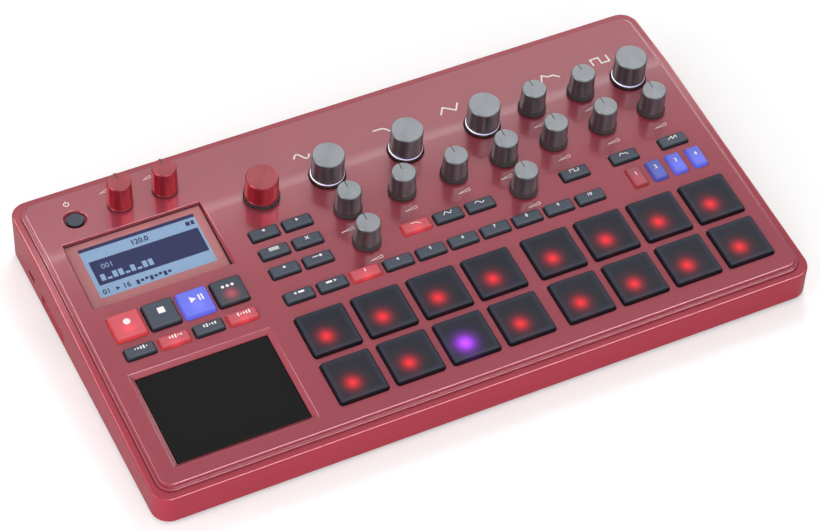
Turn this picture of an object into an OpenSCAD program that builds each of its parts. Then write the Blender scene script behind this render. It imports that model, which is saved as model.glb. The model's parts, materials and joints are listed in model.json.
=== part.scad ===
// Desktop drum machine: wedge case, bent top panel, 16 pads, rotary controls, keys, display and touch pad.
// Z = 0 is the table, X runs left to right, Y runs from the player to the back. Units are millimetres.

/* [Body] */
// Overall width of the case
body_w = 339; // [300:1:380]
// Overall depth of the case
body_d = 187; // [170:1:210]
// Tilt of the playing surface towards the player, degrees
tilt = 4; // [2:0.5:6]
// Height of the playing surface above the table at the front edge
front_z = 20.5; // [19:0.5:26]
// Distance from the front edge to the bend of the top panel
bend_from_front = 145.7; // [140:0.1:150]
// Corner radius of the case
case_r = 9; // [6:0.5:12]
// Wall and rim ledge thickness of the case
wall = 3.1; // [2.5:0.1:3.6]
// Floor thickness of the case
floor_t = 2.5; // [2:0.1:3]
// Drop of the rim ledge below the playing surface
rim_drop = 3; // [2:0.5:4]
// Height of the rubber feet
foot_h = 1.5; // [1:0.5:4]
// Radius of the rubber feet
foot_r = 7; // [5:0.5:9]

/* [Top panel] */
// Distance of the raised panel edge from the case edge
panel_inset = 5.3; // [5:0.1:7]
// Distance of the panel flange from the case edge
flange_inset = 3.8; // [3.6:0.1:4.4]
// Thickness of the panel
panel_t = 2.4; // [2:0.1:3]
// Drop of the panel flange below the playing surface
flange_drop = 1.8; // [1.2:0.1:2.2]
// Corner radius of the raised panel
panel_r = 6.5; // [4:0.5:8]

/* [Layout of the top] */
// Distance of the touch surface from the left edge of the case
touch_margin = 16.85; // [16:0.05:19]
// Distance between the touch surface and the first pad opening
block_gap = 14; // [13.5:0.1:16]
// Distance of the last pad opening from the right edge of the case
pad_margin = 13.44; // [12:0.01:16]
// Distance of the front pad openings from the front edge of the case
pad_front = 14.7; // [13:0.1:16]

/* [Pads] */
// Rib between two pad openings
pad_rib = 3.53; // [3:0.01:5]
// Extra space between the fourth and the fifth pad column
pad_split = 3; // [2:0.5:5]
// Corner radius of the pad openings
pad_corner = 1.8; // [1:0.1:3]
// Height of a pad above the panel
pad_h = 1.9; // [1:0.1:3]
// Travel of a pad
pad_travel = 0.8; // [0.4:0.1:1]

/* [Keys] */
// Rib between two neighbouring small keys
key_rib = 1.93; // [1.6:0.01:3]
// Corner radius of the key openings
key_corner = 1.2; // [0.8:0.1:2]
// Depth of a small key opening
key_d = 7.3; // [6:0.1:8]
// Height of a small key above the panel
key_h = 1.8; // [1:0.1:3]
// Travel of the keys
key_travel = 1; // [0.5:0.1:1]
// Side of a transport key opening
transport_w = 15.8; // [14:0.1:16]
// Travel of the power button
power_travel = 1.2; // [0.8:0.1:1.4]

/* [Knobs] */
// Height of the small knobs above the panel
knob_h = 14.8; // [12:0.1:18]
// Top radius of the small knobs
knob_r = 6; // [5:0.1:6.5]
// Skirt radius of the small knobs
knob_skirt = 7; // [6.6:0.1:7.5]
// Height of the large knobs above the panel
big_h = 15.2; // [13:0.1:18]
// Top radius of the large knobs
big_r = 8; // [7:0.1:8.3]
// Outer radius of the light rings
ring_r = 8.9; // [8.6:0.1:9.5]
// Height of the light rings above the panel
ring_h = 2; // [1:0.1:2.5]
// Radius of the control shafts
shaft_r = 3; // [2.5:0.1:3.2]

/* [Display and touch pad] */
// Width of the display opening
lcd_w = 69.8; // [66:0.1:71]
// Depth of the display opening
lcd_d = 40; // [38:0.1:41]
// Depth of the window at its rear edge
lcd_sink = 0.3; // [0.2:0.05:0.6]
// Tilt of the window towards the player, degrees
lcd_tilt = 5.4; // [4:0.1:6]
// Width of the touch surface
touch_w = 65.4; // [60:0.1:67]
// Depth of the touch surface
touch_d = 49.6; // [46:0.1:51]
// Sink of the touch surface below the panel
touch_sink = 2; // [1:0.1:2.2]

/* [Clearances] */
// Gap between parts that stay still against each other
seat_gap = 0.3; // [0.2:0.05:0.5]
// Gap between a key or pad and its opening
key_gap = 0.3; // [0.2:0.05:0.5]
// Radial gap between a shaft and its bushing
shaft_gap = 0.25; // [0.2:0.05:0.4]

/* [Rear sockets] */
// Bore radius of the output sockets
out_bore = 3.25; // [3.2:0.01:3.4]
// Bore radius of the small sockets
mini_bore = 1.8; // [1.75:0.01:1.9]
// Height of the socket axes above the table
jack_z = 12.6; // [12:0.1:13.5]

/* [Hidden] */
$fn = 64;

// Pads fill the width that the margins and the touch surface leave, and set the scale of the columns.
field_w = body_w - touch_margin - touch_w - block_gap - pad_margin;
pad_hole = (field_w - pad_split - 7 * pad_rib) / 8;
pad_pitch = pad_hole + pad_rib;
// The control frame has its origin at the centre of the front left pad, on the panel.
ox = body_w / 2 - pad_margin - field_w + pad_hole / 2;
pad_y = pad_front + pad_hole / 2;
oy = pad_y - body_d / 2;
oz = front_z + pad_y * tan(tilt);
bend_y = bend_from_front - body_d / 2;
rear_z = front_z + bend_from_front * tan(tilt);
floor_z = foot_h + floor_t;
far = body_d;

// Columns and rows above the pads spread with the space that the case gives them.
columns_w = 229.31;
rows_d = 114.7;
first_row = pad_pitch + 16.27;
row_spread = (body_d - pad_y - first_row) / rows_d;
function column(x) = x * field_w / columns_w;
function row(y) = first_row + (y - 45) * row_spread;
function grid(list) = [for (p = list) [column(p[0]), row(p[1])]];
// Distances in the control frame that count from the edges of the case
function left_edge(d) = d - body_w / 2 - ox;
function right_edge(d) = body_w / 2 - d - ox;
function back_edge(d) = body_d / 2 - d - oy;

// Control positions in the control frame
pad_x = [for (i = [0:7]) i * pad_pitch + (i > 3 ? pad_split : 0)];
small_at = grid([[39, 91.3], [67.8, 91.3], [95.7, 91.3], [122.8, 91.3], [150.2, 91.3], [177.5, 91.3],
  [204.7, 91.3], [39, 69.9], [122.8, 69.9], [150.2, 114.8], [177.5, 114.8]]);
big_at = grid([[38.8, 114.6], [80.7, 114.6], [122.6, 114.6], [204.3, 114.6]]);
value_at = grid([[4, 114.3]])[0];
// Ten mode keys fill their row from the first to the sixth pad
mode_w = column(169.4);
key_w = (mode_w - 9 * key_rib) / 10;
key_pitch = key_w + key_rib;
key_x = key_w / 2 - column(11.6);
mode_at = [for (i = [0:9]) [key_x + key_pitch * i, row(52.6)]];
menu_at = [for (i = [0:1], j = [0:2]) [key_x + key_pitch * i, row(68.9 + 12 * j)]];
filter_at = [for (i = [0:2]) [column(64.5) + key_pitch * i, row(68.9)]];
section_at = grid([[150.2, 68.9], [177.5, 68.9], [204.7, 68.9]]);
bank_rib = 3.2;
bank_w = (column(41.2) - 3 * bank_rib) / 4;
bank_d = row(61.65) - row(48.75);
bank_at = [for (i = [0:3]) [column(173.35) + bank_w / 2 + (bank_w + bank_rib) * i, row(55.2)]];
// The touch surface lines up with the pad block, and what stands behind it shares its centre line.
touch_at = [left_edge(touch_margin + touch_w / 2), pad_pitch / 2 - 0.36];
touch_pitch = (touch_w + 3) / 4;
function touch_column(i) = touch_at[0] + 0.55 + touch_pitch * (i - 1.5);
touch_keys_at = [for (i = [0:3]) [touch_column(i), row(51.6)]];
transport_at = [for (i = [0:3]) [touch_column(i), row(67.3)]];
lcd_at = [touch_at[0], row(103.2)];
// Rear controls count from the back edge
red_at = [[touch_at[0], back_edge(22.3)], [touch_at[0] + 23.1, back_edge(22.3)]];
power_at = [touch_at[0] - 23.3, back_edge(23.1)];
front_post_y = -pad_hole / 2 - 4.2;
rear_post_y = back_edge(28.7);
front_posts = [for (x = [left_edge(8.85), -pad_hole / 2 - 5.7, (pad_x[3] + pad_x[4]) / 2, right_edge(12.65)])
  [x, front_post_y]];
rear_posts = [for (x = [left_edge(8.85), column(-12), column(60), column(140), right_edge(12.65)])
  [x, rear_post_y]];
board_props = [[touch_at[0] - 10.7, row(55)], [-pad_hole / 2 - 5.9, row(44)], [column(102), row(60)],
  [right_edge(13.15), row(50)]];

// Levels in the control frame, measured down from the panel
web_top = -panel_t - seat_gap;
lcd_t = 1.8;
web_t = 1;
board_top = -9;
board_t = 1.6;
switch_h = 0.8;
post_r = 3.4;
boss_r = 2.9;
boss_z = -8;
screw_r = 1.4;
head_r = 2.8;
bushing_r = shaft_r + shaft_gap + 0.6;
bushing_gap = 0.25;
door_w = 158;
door_d = 33;
door_x = -12;
door_y = body_d / 2 - 49.5;
cell_r = 7.2;
pot_board_y = body_d / 2 - 31;
rear_board_drop = 12.6;
rear_board_z = rear_z - rear_board_drop;
jack_board_z = jack_z - 7;
door_t = 1.6;
flange_r = panel_r + 1.3;
wall_in = body_d / 2 - wall;

// Rounded rectangle with corners of radius r, centred
module rrect(w, d, r) {
  square([w - 2 * r, d], center = true);
  square([w, d - 2 * r], center = true);
  for (x = [r - w / 2, w / 2 - r], y = [r - d / 2, d / 2 - r]) {
    translate([x, y]) circle(r);
  }
}
module prism(inset, r, z0, z1) {
  translate([0, 0, z0]) linear_extrude(z1 - z0) rrect(body_w - 2 * inset, body_d - 2 * inset, r);
}
// Slab between two levels under the bent top surface, from z1 up to z0
module bent(z1, z0) {
  k = tan(tilt) * (far - body_d / 2);
  rotate([90, 0, 90]) translate([0, 0, -body_w]) linear_extrude(2 * body_w)
    polygon([[-far, front_z - k + z1], [bend_y, rear_z + z1], [far, rear_z + z1],
      [far, rear_z + z0], [bend_y, rear_z + z0], [-far, front_z - k + z0]]);
}
module under(z0, low) {
  k = tan(tilt) * (far - body_d / 2);
  rotate([90, 0, 90]) translate([0, 0, -body_w]) linear_extrude(2 * body_w)
    polygon([[-far, low], [far, low], [far, rear_z + z0], [bend_y, rear_z + z0],
      [-far, front_z - k + z0]]);
}
module on_panel() {
  translate([ox, oy, oz]) rotate([tilt, 0, 0]) children();
}
// Frame of the level rear part: same X and nearly the same Y as the control frame
module on_rear() {
  translate([ox, oy, rear_z]) children();
}
// Frame of the window: its centre at the top, tilted about the rear edge of its opening
module on_lcd() {
  translate([ox + lcd_at[0], oy + lcd_at[1] + lcd_d / 2, rear_z - lcd_sink]) rotate([lcd_tilt, 0, 0])
    translate([0, -lcd_d / 2, 0]) children();
}
module at(p) {
  translate([p[0], p[1], 0]) children();
}
module box(w, d, z0, z1) {
  translate([-w / 2, -d / 2, z0]) cube([w, d, z1 - z0]);
}
// Box with rounded upright edges
module block(w, d, r, z0, z1) {
  translate([0, 0, z0]) linear_extrude(z1 - z0) rrect(w, d, r);
}
module disc(r, z0, z1) {
  translate([0, 0, z0]) cylinder(r = r, h = z1 - z0);
}
// Block with rounded upright edges and its four top edges bevelled by c, for soft keys and pads
module bevelled(w, d, r, z0, z1, c) {
  intersection() {
    block(w, d, r, z0 - 1, z1 + 1);
    rotate([90, 0, 0]) translate([0, 0, -d]) linear_extrude(2 * d)
      polygon([[-w / 2, z0], [w / 2, z0], [w / 2, z1 - c], [w / 2 - c, z1], [c - w / 2, z1],
        [-w / 2, z1 - c]]);
    rotate([90, 0, 90]) translate([0, 0, -w]) linear_extrude(2 * w)
      polygon([[-d / 2, z0], [d / 2, z0], [d / 2, z1 - c], [d / 2 - c, z1], [c - d / 2, z1],
        [-d / 2, z1 - c]]);
  }
}
// Recess that widens by run on each side from depth to the surface
module sloped(w, d, depth, run) {
  e = 1 + run / depth;
  intersection() {
    rotate([90, 0, 0]) translate([0, 0, -d]) linear_extrude(2 * d)
      polygon([[-w / 2, -depth], [w / 2, -depth], [w / 2 + run + e - 1, 1], [1 - e - w / 2 - run, 1]]);
    rotate([90, 0, 90]) translate([0, 0, -w]) linear_extrude(2 * w)
      polygon([[-d / 2, -depth], [d / 2, -depth], [d / 2 + run + e - 1, 1], [1 - e - d / 2 - run, 1]]);
  }
}

// Holes of the top panel
module panel_holes() {
  on_panel() {
    for (x = pad_x, y = [0, pad_pitch]) at([x, y]) block(pad_hole, pad_hole, pad_corner, -20, 5);
    for (p = concat(mode_at, menu_at, filter_at, section_at, touch_keys_at)) {
      at(p) block(key_w, key_d, key_corner, -20, 5);
    }
    for (p = bank_at) at(p) block(bank_w, bank_d, key_corner, -20, 5);
    for (p = transport_at) at(p) block(transport_w, transport_w, key_corner + 0.3, -20, 5);
    for (p = small_at) at(p) disc(bushing_r + bushing_gap, -20, 5);
    at(value_at) disc(bushing_r + bushing_gap, -20, 5);
    for (p = big_at) at(p) disc(ring_r + bushing_gap, -20, 5);
    at(touch_at) {
      box(touch_w + 2 * seat_gap, touch_d + 2 * seat_gap, -20, 5);
      sloped(touch_w + 2 * seat_gap, touch_d + 2 * seat_gap, touch_sink, 2.5);
    }
  }
  on_rear() {
    for (p = red_at) at(p) disc(bushing_r + bushing_gap, -20, 5);
    at(power_at) {
      disc(4.5, -20, 5);
      translate([0, 0, -1.6]) cylinder(r1 = 4.9, r2 = 6.1, h = 2);
    }
  }
  on_lcd() {
    box(lcd_w, lcd_d, -20, 3);
    translate([0, 0, 2]) sloped(lcd_w, lcd_d, 2, 1.5);
  }
}
module top_panel() color("#a85a62") {
  difference() {
    union() {
      intersection() {
        prism(panel_inset, panel_r, 5, 60);
        bent(-panel_t, 0);
      }
      intersection() {
        difference() {
          prism(flange_inset, flange_r, 5, 60);
          prism(panel_inset + 2, panel_r - 2, 4, 61);
        }
        bent(-panel_t - 1.4, -flange_drop);
      }
      on_panel() for (p = front_posts) at(p) disc(boss_r, boss_z, -panel_t + 0.5);
      on_rear() for (p = rear_posts) at(p) disc(boss_r, boss_z, -panel_t + 0.5);
    }
    panel_holes();
    on_panel() for (p = front_posts) at(p) disc(screw_r + 0.2, boss_z - 1, -panel_t);
    on_rear() for (p = rear_posts) at(p) disc(screw_r + 0.2, boss_z - 1, -panel_t);
  }
}

// Ring inside the top of the case wall, up to a level below the playing surface
module rim(inset, r, level) {
  intersection() {
    difference() {
      prism(wall - 0.5, case_r - wall + 0.5, 5, 60);
      prism(inset, r, 4, 61);
    }
    bent(-rim_drop - 3, level);
  }
}
// Bottom case: floor, walls with the rim ledges, posts, battery bay and all wall openings
out_x = body_w / 2 - 40.15;
out_pitch = 24;
outputs_x = [out_x, out_x - out_pitch];
mini_x = [for (i = [0:4]) out_x - out_pitch - 30 - 17 * i];
usb_x = mini_x[4] - 28;
inlet_x = 38.85 - body_w / 2;
card_y = body_d / 2 - 58.2;
lock_y = body_d / 2 - 34.7;
module jack_axis(x) {
  translate([x, body_d / 2, jack_z]) rotate([90, 0, 0]) children();
}
module bottom_case() color("#b03a4c") {
  difference() {
    union() {
      difference() {
        intersection() {
          prism(0, case_r, foot_h, 60);
          under(-rim_drop, foot_h);
        }
        prism(wall, case_r - wall, floor_z, 61);
      }
      rim(flange_inset - seat_gap, flange_r + seat_gap, -rim_drop);
      rim(flange_inset + 1.2, flange_r - 1.2, -panel_t - 1.4 - seat_gap);
      intersection() {
        union() {
          on_panel() for (p = front_posts) at(p) disc(post_r, -40, boss_z - seat_gap);
          on_rear() for (p = rear_posts) at(p) disc(post_r, -40, boss_z - seat_gap);
          on_panel() for (p = board_props) {
            at(p) disc(3, -40, board_top - board_t - seat_gap);
          }
          for (x = [-1, 1], y = [-1, 1]) {
            translate([door_x + x * (door_w / 2 - 9), door_y + y * (door_d / 2 + 1.3), 0])
              box(40, 1.6, foot_h, 10);
          }
          for (x = [out_x, usb_x - 10, inlet_x + 10]) {
            at([x, body_d / 2 - 11.5]) box(3, 12, foot_h, jack_board_z - seat_gap);
          }
          at([ox + power_at[0] - 6, pot_board_y + 7]) box(9, 9, foot_h, rear_board_z - seat_gap);
          at([ox + red_at[1][0] + 3.2, pot_board_y + 4.7]) box(9, 4, foot_h, rear_board_z - seat_gap);
        }
        prism(wall - 0.5, case_r - wall, foot_h + 0.5, 60);
      }
    }
    at([door_x, door_y]) box(door_w + 2 * seat_gap, door_d + 2 * seat_gap, 0, 20);
    on_panel() for (p = front_posts) at(p) {
      disc(screw_r + 0.3, -40, 0);
      disc(head_r + 0.3, -40, -16.5);
    }
    on_rear() for (p = rear_posts) at(p) {
      disc(screw_r + 0.3, -40, 0);
      disc(head_r + 0.3, -40, -22.5);
    }
    for (x = [-1, 1], y = [-1, 1]) at([x * (body_w / 2 - 26), y * (body_d / 2 - 16)]) {
      disc(foot_r + 0.25, 0, foot_h + 0.8);
    }
    for (x = outputs_x) jack_axis(x) disc(5.3, -1, 10);
    for (x = mini_x) jack_axis(x) disc(3.3, -1, 10);
    jack_axis(usb_x) box(9, 4, -1, 10);
    jack_axis(inlet_x) disc(4.3, -1, 10);
    translate([-body_w / 2, card_y, foot_h + 8]) {
      rotate([90, 0, 0]) translate([0, 0, -14]) linear_extrude(28)
        polygon([[-1, -6.9], [wall - 0.7, -1.4], [wall - 0.7, 1.4], [-1, 1.4]]);
      translate([-1, -12.6, -1.4]) cube([10, 25.2, 2.8]);
    }
    translate([-body_w / 2 - 1, lock_y, foot_h + 7]) cube([10, 7.5, 3.2]);
  }
}

module display_window() color([0.75, 0.8, 0.85, 0.5]) {
  on_lcd() box(lcd_w - 2 * seat_gap, lcd_d - 2 * seat_gap, -lcd_t, 0);
}
module display_module() color("#8fb0d8") {
  zt = -lcd_t - seat_gap;
  on_lcd() {
    box(lcd_w - 1, lcd_d - 1.2, zt - 1.5, zt);
    box(lcd_w - 6, lcd_d - 6, zt - 3.2, zt - 1);
  }
}
module touch_pad() color("#1d1e20") {
  on_panel() at(touch_at) {
    box(touch_w, touch_d, -touch_sink - 1.6, -touch_sink);
    for (x = [-1, 1], y = [-1, 1]) at([x * (touch_w / 2 - 4), y * (touch_d / 2 - 4)]) {
      box(6, 6, board_top + seat_gap, -touch_sink - 1);
    }
  }
}

// Boards
all_keys = concat(mode_at, menu_at, filter_at, section_at, touch_keys_at, bank_at, transport_at);
module main_board() color("#2f5d3a") {
  on_panel() {
    difference() {
      translate([left_edge(12.85), front_post_y + 3.8, board_top - board_t])
        cube([body_w - 21.5, rear_post_y - front_post_y - 8.8, board_t]);
      for (p = concat(small_at, big_at, [value_at])) at(p) disc(shaft_r + 0.5, -20, 0);
    }
    for (p = all_keys) at(p) box(4, 4, board_top, board_top + switch_h);
    for (x = pad_x, y = [0, pad_pitch]) at([x, y]) disc(7, board_top, board_top + 0.4);
  }
}
module rear_boards() color("#2f5d3a") {
  difference() {
    translate([ox + touch_at[0] - 34.7, pot_board_y, rear_board_z]) cube([66, 22, board_t]);
    for (p = red_at) at([ox + p[0], oy + p[1]]) disc(shaft_r + 0.5, rear_board_z - 1, rear_board_z + 5);
  }
  translate([26.85 - body_w / 2, body_d / 2 - 23.5, jack_board_z]) cube([body_w - 55, 19.5, board_t]);
}

// Bodies of the potentiometers and encoders with their bushings, and the power switch
module control_body(z0) {
  difference() {
    union() {
      box(11, 11, z0, -panel_t - seat_gap);
      disc(bushing_r, -panel_t - 1, 0.2);
    }
    disc(shaft_r + shaft_gap, z0 + 1, 5);
  }
}
module rotary_controls() color("#8d9094") {
  on_panel() for (p = concat(small_at, big_at, [value_at])) at(p) control_body(board_top);
  on_rear() {
    for (p = red_at) at(p) control_body(board_t - rear_board_drop);
    at(power_at) box(8, 8, board_t - rear_board_drop, -6);
  }
}
module light_rings() color([0.93, 0.88, 1]) {
  on_panel() for (p = big_at) at(p) rotate_extrude($fn = 96)
    polygon([[6.6, -panel_t], [ring_r, -panel_t], [ring_r, ring_h - 0.6], [ring_r - 0.6, ring_h],
      [6.6, ring_h]]);
}

// Sockets on the rear wall and the memory card socket on the left
module socket(w, h, out_r, bore, depth) {
  difference() {
    union() {
      translate([-w / 2, -5, wall + seat_gap]) cube([w, h, 13]);
      disc(out_r, 0.4, wall + 1);
    }
    disc(bore, -1, depth);
  }
}
module sockets() color("#26272a") {
  for (x = outputs_x) jack_axis(x) socket(14, 9.8, 5, out_bore, 15);
  for (x = mini_x) jack_axis(x) socket(9, 8, 3, mini_bore, 14);
  jack_axis(usb_x) difference() {
    box(8.4, 3.4, 0.4, 10);
    box(7, 2, 0, 6);
  }
  jack_axis(usb_x) translate([0, -2.6, wall + 3]) box(8.4, 3, 0, 7);
  jack_axis(inlet_x) {
    difference() {
      union() {
        translate([-4.5, -5, wall + seat_gap]) cube([9, 9.5, 12]);
        disc(4, 0.4, wall + 1);
      }
      disc(2.8, -1, 11);
    }
    disc(1, 3, 11.5);
  }
  translate([-body_w / 2 + wall + seat_gap, card_y, foot_h + 8]) difference() {
    translate([0, -14, -3.7]) cube([27, 28, 6]);
    translate([-1, -12.2, -1.1]) cube([26, 24.4, 2.2]);
  }
}

module battery_door() color("#b03a4c") {
  at([door_x, door_y]) box(door_w, door_d, foot_h, foot_h + door_t);
  for (x = [-1, 0, 1]) at([door_x + x * 52, door_y]) box(2, door_d - 2, foot_h + 1, foot_h + door_t + 0.6);
}
module batteries() color("#c9b27a") {
  for (i = [-1, 0, 1], j = [-1, 1]) {
    translate([door_x + i * 51.5 - 25, door_y + j * 7.8, foot_h + door_t + 0.9 + cell_r])
      rotate([0, 90, 0]) {
        cylinder(r = cell_r, h = 49);
        cylinder(r = 2.7, h = 50);
      }
  }
}
module feet() color("#1b1b1b") {
  for (x = [-1, 1], y = [-1, 1]) at([x * (body_w / 2 - 26), y * (body_d / 2 - 16)]) {
    disc(foot_r, 0, foot_h + 0.8);
  }
}
module screw(top, seat) {
  disc(screw_r, seat - 1, top);
  disc(head_r, seat - 2, seat - seat_gap);
}
module case_screws() color("#5f6266") {
  on_panel() for (p = front_posts) at(p) screw(-panel_t - 1, -16.5);
  on_rear() for (p = rear_posts) at(p) screw(-panel_t - 1, -22.5);
}

// Keys: a cap through the panel, a web under it and a stub over the switch
key_bevel = 0.9;
module key_cap(w, d, r, h) {
  bevelled(w - 2 * key_gap, d - 2 * key_gap, r - key_gap, web_top - 0.5, h, key_bevel);
  box(3, 3, board_top + switch_h + key_travel + 0.2, web_top - 0.5);
}
// Silicone strip: one web under a group of keys, with a cap and a stub for each
module key_strip(keys, w, d) color("#49525c") on_panel() {
  x = [for (p = keys) p[0]];
  y = [for (p = keys) p[1]];
  translate([min(x) - w / 2 - 1.4, min(y) - d / 2 - 0.9, web_top - web_t])
    cube([max(x) - min(x) + w + 2.8, max(y) - min(y) + d + 1.8, web_t]);
  for (p = keys) at(p) key_cap(w, d, key_corner, key_h);
}
module mode_keys() key_strip(mode_at, key_w, key_d);
module menu_keys() key_strip(menu_at, key_w, key_d);
module filter_keys() key_strip(filter_at, key_w, key_d);
module section_keys() key_strip(section_at, key_w, key_d);
module bank_keys() key_strip(bank_at, bank_w, bank_d);
module touch_keys() key_strip(touch_keys_at, key_w, key_d);
module transport_key(i) color("#3d444d") on_panel() at(transport_at[i]) {
  box(transport_w + 0.7, transport_w, web_top - web_t, web_top);
  key_cap(transport_w, transport_w, key_corner + 0.3, key_h + 0.3);
}
module record_key() transport_key(0);
module stop_key() transport_key(1);
module play_key() transport_key(2);
module tap_key() transport_key(3);
module power_button() color("#4a5056") on_rear() at(power_at) {
  disc(4.2, -4.4, -0.3);
  disc(5.6, -3.6, -panel_t - seat_gap);
  disc(1.5, -6 + power_travel + 0.2, -4);
}

// Knobs: shell with a hub on a flatted shaft
module knob(h, top, low, skirt, skirt_h, gap, hub) {
  difference() {
    rotate_extrude($fn = 96) polygon([[0, gap], [skirt, gap], [skirt, skirt_h - 0.4], [skirt - 0.3, skirt_h],
      [low, skirt_h + 0.2], [top, h - 0.5], [top - 0.4, h], [0, h]]);
    difference() {
      disc(low - 1.3, gap - 1, h - 2);
      disc(hub, gap - 2, h);
    }
    shaft_form(h - 3.6, gap - 1, 0.1);
  }
}
module shaft_form(z1, z0, g) {
  intersection() {
    disc(shaft_r + g, z0, z1 + g);
    translate([-10, -10, z0 - 1]) cube([20, 10 + shaft_r - 0.9 + g, z1 - z0 + 3]);
  }
}
module shaft(h, low) {
  shaft_form(h - 3.6, -panel_t, 0);
  disc(shaft_r, low, -panel_t + 0.001);
}
module pointer(h, top, len) {
  translate([-0.3, top - len, h - 0.35]) cube([0.6, len + 1, 2]);
}
module small_knob(i) color("#80868b") on_panel() at(small_at[i]) {
  difference() {
    knob(knob_h, knob_r, knob_r + 0.4, knob_skirt, 2.2, 0.6, 4.4);
    pointer(knob_h, knob_r, 4.2);
  }
  shaft(knob_h, board_top + 1.4);
}
module large_knob(i) color("#80868b") on_panel() at(big_at[i]) {
  difference() {
    knob(big_h, big_r, big_r + 0.15, big_r + 0.15, ring_h + 1, ring_h + 0.4, 4.4);
  }
  shaft(big_h, board_top + 1.4);
}
module value_knob() color("#a5222f") on_panel() at(value_at) {
  knob(big_h, big_r, big_r + 0.3, big_r + 0.3, 3.4, 2.9, 4.4);
  shaft(big_h, board_top + 1.4);
}
module encoder_grip_ring() color("#1d1d1e") on_panel() at(value_at) {
  difference() {
    union() {
      disc(8.6, 0.6, 2.7);
      for (a = [0:15:345]) rotate(a) translate([8.4, -0.7, 0.9]) cube([0.6, 1.4, 1.6]);
    }
    disc(5, 0, 3);
  }
}
module red_knob(i) color("#a5222f") on_rear() at(red_at[i]) {
  difference() {
    knob(big_h, knob_r, knob_r + 0.35, knob_r + 0.35, 1.6, 0.6, 4.4);
    pointer(big_h, knob_r, 4.2);
  }
  shaft(big_h, board_t - rear_board_drop + 1.4);
}
module red_knob_left() red_knob(0);
module red_knob_right() red_knob(1);

// Pads, numbered from the front left, row by row
module pad(i) color("#3c444e") on_panel() at([pad_x[i % 8], pad_pitch * floor(i / 8)]) {
  side = pad_hole - 2 * key_gap;
  bevelled(side, side, pad_corner - key_gap, web_top - 3.6, pad_h, 0.8);
  box(pad_hole + 2, pad_hole + 2, web_top - 1.2, web_top);
}
module large_knob_1() large_knob(0);
module large_knob_2() large_knob(1);
module large_knob_3() large_knob(2);
module large_knob_4() large_knob(3);
module small_knob_01() small_knob(0);
module small_knob_02() small_knob(1);
module small_knob_03() small_knob(2);
module small_knob_04() small_knob(3);
module small_knob_05() small_knob(4);
module small_knob_06() small_knob(5);
module small_knob_07() small_knob(6);
module small_knob_08() small_knob(7);
module small_knob_09() small_knob(8);
module small_knob_10() small_knob(9);
module small_knob_11() small_knob(10);
module pad_01() pad(0);
module pad_02() pad(1);
module pad_03() pad(2);
module pad_04() pad(3);
module pad_05() pad(4);
module pad_06() pad(5);
module pad_07() pad(6);
module pad_08() pad(7);
module pad_09() pad(8);
module pad_10() pad(9);
module pad_11() pad(10);
module pad_12() pad(11);
module pad_13() pad(12);
module pad_14() pad(13);
module pad_15() pad(14);
module pad_16() pad(15);

bottom_case();
top_panel();
display_window();
display_module();
touch_pad();
main_board();
rear_boards();
rotary_controls();
light_rings();
sockets();
battery_door();
batteries();
feet();
case_screws();
encoder_grip_ring();
menu_keys();
mode_keys();
filter_keys();
section_keys();
bank_keys();
touch_keys();
record_key();
stop_key();
play_key();
tap_key();
power_button();
red_knob_left();
red_knob_right();
value_knob();
large_knob_1();
large_knob_2();
large_knob_3();
large_knob_4();
small_knob_01();
small_knob_02();
small_knob_03();
small_knob_04();
small_knob_05();
small_knob_06();
small_knob_07();
small_knob_08();
small_knob_09();
small_knob_10();
small_knob_11();
pad_01();
pad_02();
pad_03();
pad_04();
pad_05();
pad_06();
pad_07();
pad_08();
pad_09();
pad_10();
pad_11();
pad_12();
pad_13();
pad_14();
pad_15();
pad_16();
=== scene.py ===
import json
import math

import bpy
from mathutils import Matrix, Vector


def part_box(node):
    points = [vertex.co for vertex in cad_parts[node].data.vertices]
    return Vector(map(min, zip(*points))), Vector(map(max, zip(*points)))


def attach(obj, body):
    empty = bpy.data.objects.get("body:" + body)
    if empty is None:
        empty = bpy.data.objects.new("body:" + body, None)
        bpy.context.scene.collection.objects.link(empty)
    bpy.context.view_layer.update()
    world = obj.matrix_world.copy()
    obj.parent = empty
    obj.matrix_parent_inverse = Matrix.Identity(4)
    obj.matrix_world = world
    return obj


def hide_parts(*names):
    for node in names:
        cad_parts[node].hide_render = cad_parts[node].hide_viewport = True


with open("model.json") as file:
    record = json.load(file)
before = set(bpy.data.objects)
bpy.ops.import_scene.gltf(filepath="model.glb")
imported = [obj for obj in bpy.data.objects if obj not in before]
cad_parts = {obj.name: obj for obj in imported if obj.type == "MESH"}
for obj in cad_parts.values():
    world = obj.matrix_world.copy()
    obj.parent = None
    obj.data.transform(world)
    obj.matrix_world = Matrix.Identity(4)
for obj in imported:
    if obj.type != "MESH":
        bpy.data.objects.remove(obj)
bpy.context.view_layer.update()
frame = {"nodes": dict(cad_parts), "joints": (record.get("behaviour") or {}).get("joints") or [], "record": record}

bl_info = {
    "name": "Drum Machine Finishes",
    "version": (1, 0, 0),
    "blender": (4, 5, 0),
    "location": "View3D > Sidebar > Drum Machine",
    "description": "Dresses a desktop drum machine: paint, lit pads and keys, knobs, display, "
                   "legends and studio",
    "category": "Object",
}

MM = 0.001
CHASSIS = "chassis"


# Places on the machine, from the frame --------------------------------------------------------


def joint(body):
    """The joint that moves a body."""
    return next(j for j in frame["joints"] if j["child"] == body)


def middle(node):
    """Centre of a node's box."""
    low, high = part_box(node)
    return (low + high) / 2


DOWN = Vector(joint("pad_01")["axis"])
TILT = math.atan2(DOWN.y, -DOWN.z)
TURN = Matrix.Rotation(TILT, 4, "X")
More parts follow.
